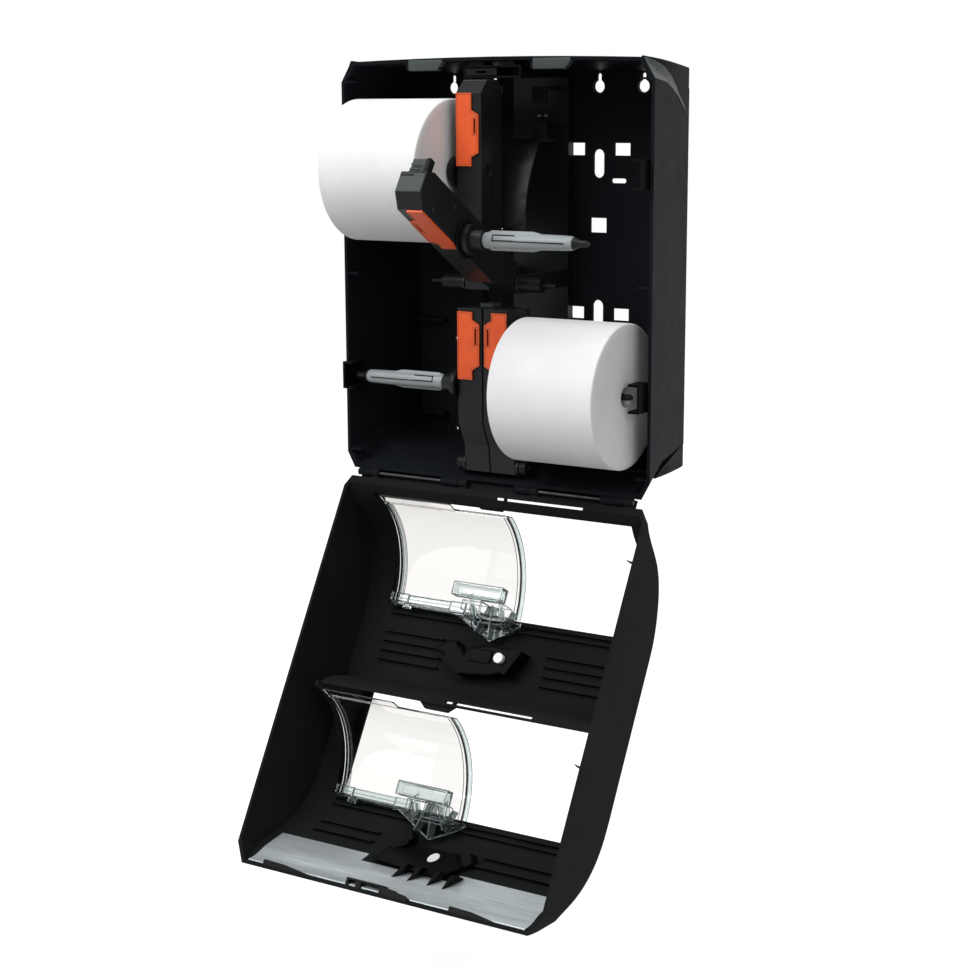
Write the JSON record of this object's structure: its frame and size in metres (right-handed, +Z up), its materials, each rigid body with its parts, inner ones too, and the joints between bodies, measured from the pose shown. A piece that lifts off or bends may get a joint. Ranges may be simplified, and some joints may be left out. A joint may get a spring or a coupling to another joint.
{
  "type": "toilet roll dispenser",
  "caption": "Wall dispenser for toilet rolls with a let-down curved cover, sliding clear doors and swing-out roll arms on a central spine.",
  "frame": {"origin": "on the wall plane, behind the middle of the housing", "axes": "+X to the right seen from the front, +Y into the wall, +Z up"},
  "size_m": [0.304, 0.274, 0.673],
  "materials": {
    "black_plastic": "smooth satin moulding",
    "dark_plastic": "satin",
    "pale_grey": "satin",
    "orange_plastic": "satin",
    "white_plastic": "smooth",
    "clear_plastic": "clear moulded",
    "steel": "brushed",
    "paper": "soft tissue"
  },
  "bodies": {
    "housing": {"housing_shell": "black_plastic", "spine_frame": "dark_plastic", "upper_pivot_shaft": "pale_grey", "lower_pivot_shaft": "pale_grey", "lock_case": "dark_plastic", "left_hinge_pin": "steel", "right_hinge_pin": "steel", "upper_left_tip_bracket": "dark_plastic", "upper_right_tip_bracket": "dark_plastic", "lower_left_tip_bracket": "dark_plastic", "lower_right_tip_bracket": "dark_plastic"},
    "lock_bolt": {"lock_bolt": "steel"},
    "cover": {"cover_shell": "black_plastic", "cover_lining": "steel", "cover_catch": "dark_plastic", "left_locating_tab": "dark_plastic", "right_locating_tab": "dark_plastic", "upper_door_stop": "dark_plastic", "lower_door_stop": "dark_plastic", "upper_stop_pin": "white_plastic", "lower_stop_pin": "white_plastic"},
    "upper_door": {"upper_door_panel": "clear_plastic", "upper_door_rail": "clear_plastic", "upper_door_carriage": "clear_plastic"},
    "upper_left_arm": {"upper_left_arm": "dark_plastic", "upper_left_arm_plate": "orange_plastic", "upper_left_flange": "dark_plastic"},
    "upper_left_spindle": {"upper_left_spindle_core": "dark_plastic", "upper_left_spindle_barrel": "pale_grey", "upper_left_roll": "paper"},
    "upper_left_tab": {"upper_left_release_tab": "pale_grey"},
    "upper_right_arm": {"upper_right_arm": "dark_plastic", "upper_right_arm_plate": "orange_plastic", "upper_right_flange": "dark_plastic"},
    "upper_right_spindle": {"upper_right_spindle_core": "dark_plastic", "upper_right_spindle_barrel": "pale_grey"},
    "upper_right_tab": {"upper_right_release_tab": "pale_grey"},
    "lower_door": {"lower_door_panel": "clear_plastic", "lower_door_rail": "clear_plastic", "lower_door_carriage": "clear_plastic"},
    "lower_left_arm": {"lower_left_arm": "dark_plastic", "lower_left_arm_plate": "orange_plastic", "lower_left_flange": "dark_plastic"},
    "lower_left_spindle": {"lower_left_spindle_core": "dark_plastic", "lower_left_spindle_barrel": "pale_grey"},
    "lower_left_tab": {"lower_left_release_tab": "pale_grey"},
    "lower_right_arm": {"lower_right_arm": "dark_plastic", "lower_right_arm_plate": "orange_plastic", "lower_right_flange": "dark_plastic"},
    "lower_right_spindle": {"lower_right_spindle_core": "dark_plastic", "lower_right_spindle_barrel": "pale_grey", "lower_right_roll": "paper"},
    "lower_right_tab": {"lower_right_release_tab": "pale_grey"}
  },
  "joints": [
    {"name": "cover_swing", "type": "hinge", "parent": "housing", "child": "cover", "pos_m": [0, -0.095, -0.1795], "axis": [1, 0, 0], "range_deg": [-150, 0]},
    {"name": "lock_slide", "type": "slide", "parent": "housing", "child": "lock_bolt", "axis": [1, 0, 0], "range_m": [0, 0.005]},
    {"name": "upper_door_slide", "type": "slide", "parent": "cover", "child": "upper_door", "axis": [1, 0, 0], "range_m": [0, 0.094]},
    {"name": "upper_left_arm_swing", "type": "hinge", "parent": "housing", "child": "upper_left_arm", "pos_m": [0, -0.091, -0.005], "axis": [1, 0, 0], "range_deg": [0, 58]},
    {"name": "upper_left_spin", "type": "hinge", "parent": "upper_left_arm", "child": "upper_left_spindle", "pos_m": [0, -0.099, 0.088], "axis": [1, 0, 0], "continuous": true},
    {"name": "upper_left_tab_slide", "type": "slide", "parent": "upper_left_arm", "child": "upper_left_tab", "axis": [0, 0, -1], "range_m": [0, 0.003], "stiffness_N_per_m": 400, "springref_m": -0.001},
    {"name": "upper_right_arm_swing", "type": "hinge", "parent": "housing", "child": "upper_right_arm", "pos_m": [0, -0.091, -0.005], "axis": [1, 0, 0], "range_deg": [-58, 0]},
    {"name": "upper_right_spin", "type": "hinge", "parent": "upper_right_arm", "child": "upper_right_spindle", "pos_m": [0, -0.17411, 0.0375], "axis": [1, 0, 0], "continuous": true},
    {"name": "upper_right_tab_slide", "type": "slide", "parent": "upper_right_arm", "child": "upper_right_tab", "axis": [0, 0.848, -0.5299], "range_m": [0, 0.003], "stiffness_N_per_m": 400, "springref_m": -0.001},
    {"name": "lower_door_slide", "type": "slide", "parent": "cover", "child": "lower_door", "axis": [1, 0, 0], "range_m": [0, 0.094]},
    {"name": "lower_left_arm_swing", "type": "hinge", "parent": "housing", "child": "lower_left_arm", "pos_m": [0, -0.091, -0.1615], "axis": [1, 0, 0], "range_deg": [0, 58]},
    {"name": "lower_left_spin", "type": "hinge", "parent": "lower_left_arm", "child": "lower_left_spindle", "pos_m": [0, -0.099, -0.0915], "axis": [1, 0, 0], "continuous": true},
    {"name": "lower_left_tab_slide", "type": "slide", "parent": "lower_left_arm", "child": "lower_left_tab", "axis": [0, 0, -1], "range_m": [0, 0.003], "stiffness_N_per_m": 400, "springref_m": -0.001},
    {"name": "lower_right_arm_swing", "type": "hinge", "parent": "housing", "child": "lower_right_arm", "pos_m": [0, -0.091, -0.1615], "axis": [1, 0, 0], "range_deg": [0, 58]},
    {"name": "lower_right_spin", "type": "hinge", "parent": "lower_right_arm", "child": "lower_right_spindle", "pos_m": [0, -0.099, -0.0915], "axis": [1, 0, 0], "continuous": true},
    {"name": "lower_right_tab_slide", "type": "slide", "parent": "lower_right_arm", "child": "lower_right_tab", "axis": [0, 0, -1], "range_m": [0, 0.003], "stiffness_N_per_m": 400, "springref_m": -0.001}
  ],
  "couplings": [
    {"joint": "upper_right_arm_swing", "follows": "cover_swing", "ratio": 0.38667}
  ]
}
